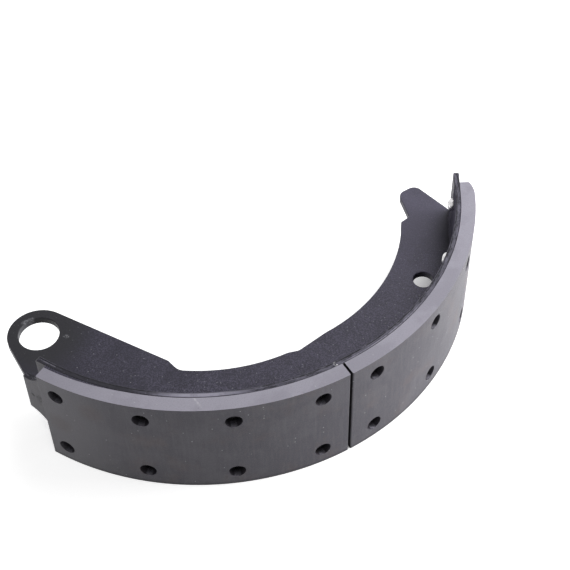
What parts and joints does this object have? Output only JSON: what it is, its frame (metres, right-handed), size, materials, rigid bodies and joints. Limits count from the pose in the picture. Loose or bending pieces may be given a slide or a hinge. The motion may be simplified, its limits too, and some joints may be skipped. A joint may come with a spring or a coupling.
{
  "type": "brake shoe",
  "caption": "Curved drum brake shoe: a flat web with an anchor eye welded to a curved table that carries riveted friction linings, lying on its side",
  "frame": {"origin": "centre of the anchor eye, in the middle plane of the web", "axes": "+Z along the anchor eye and the drum's axis, +X from the eye towards the toe, +Y from the lining towards the drum's axis"},
  "size_m": [0.239, 0.1691, 0.06],
  "materials": {
    "web_paint": "black primer on pressed steel, fine grained, with light scratches",
    "table_paint": "black primer on rolled steel, with mottled sheared edges",
    "lining": "moulded friction composite, ground outer face and paler sawn sides",
    "rivet": "bright plated semi-tubular rivet, rolled over on the inside"
  },
  "bodies": {
    "root": {"web": "web_paint", "table": "table_paint", "lining_anchor_end": "lining", "lining_toe_end": "lining", "rivet_row1_upper": "rivet", "rivet_row1_lower": "rivet", "rivet_row2_upper": "rivet", "rivet_row2_lower": "rivet", "rivet_row3_upper": "rivet", "rivet_row3_lower": "rivet", "rivet_row4_upper": "rivet", "rivet_row4_lower": "rivet", "rivet_row5_upper": "rivet", "rivet_row5_lower": "rivet", "rivet_row6_upper": "rivet", "rivet_row6_lower": "rivet", "rivet_row7_upper": "rivet", "rivet_row7_lower": "rivet", "rivet_row8_upper": "rivet", "rivet_row8_lower": "rivet"}
  },
  "joints": []
}
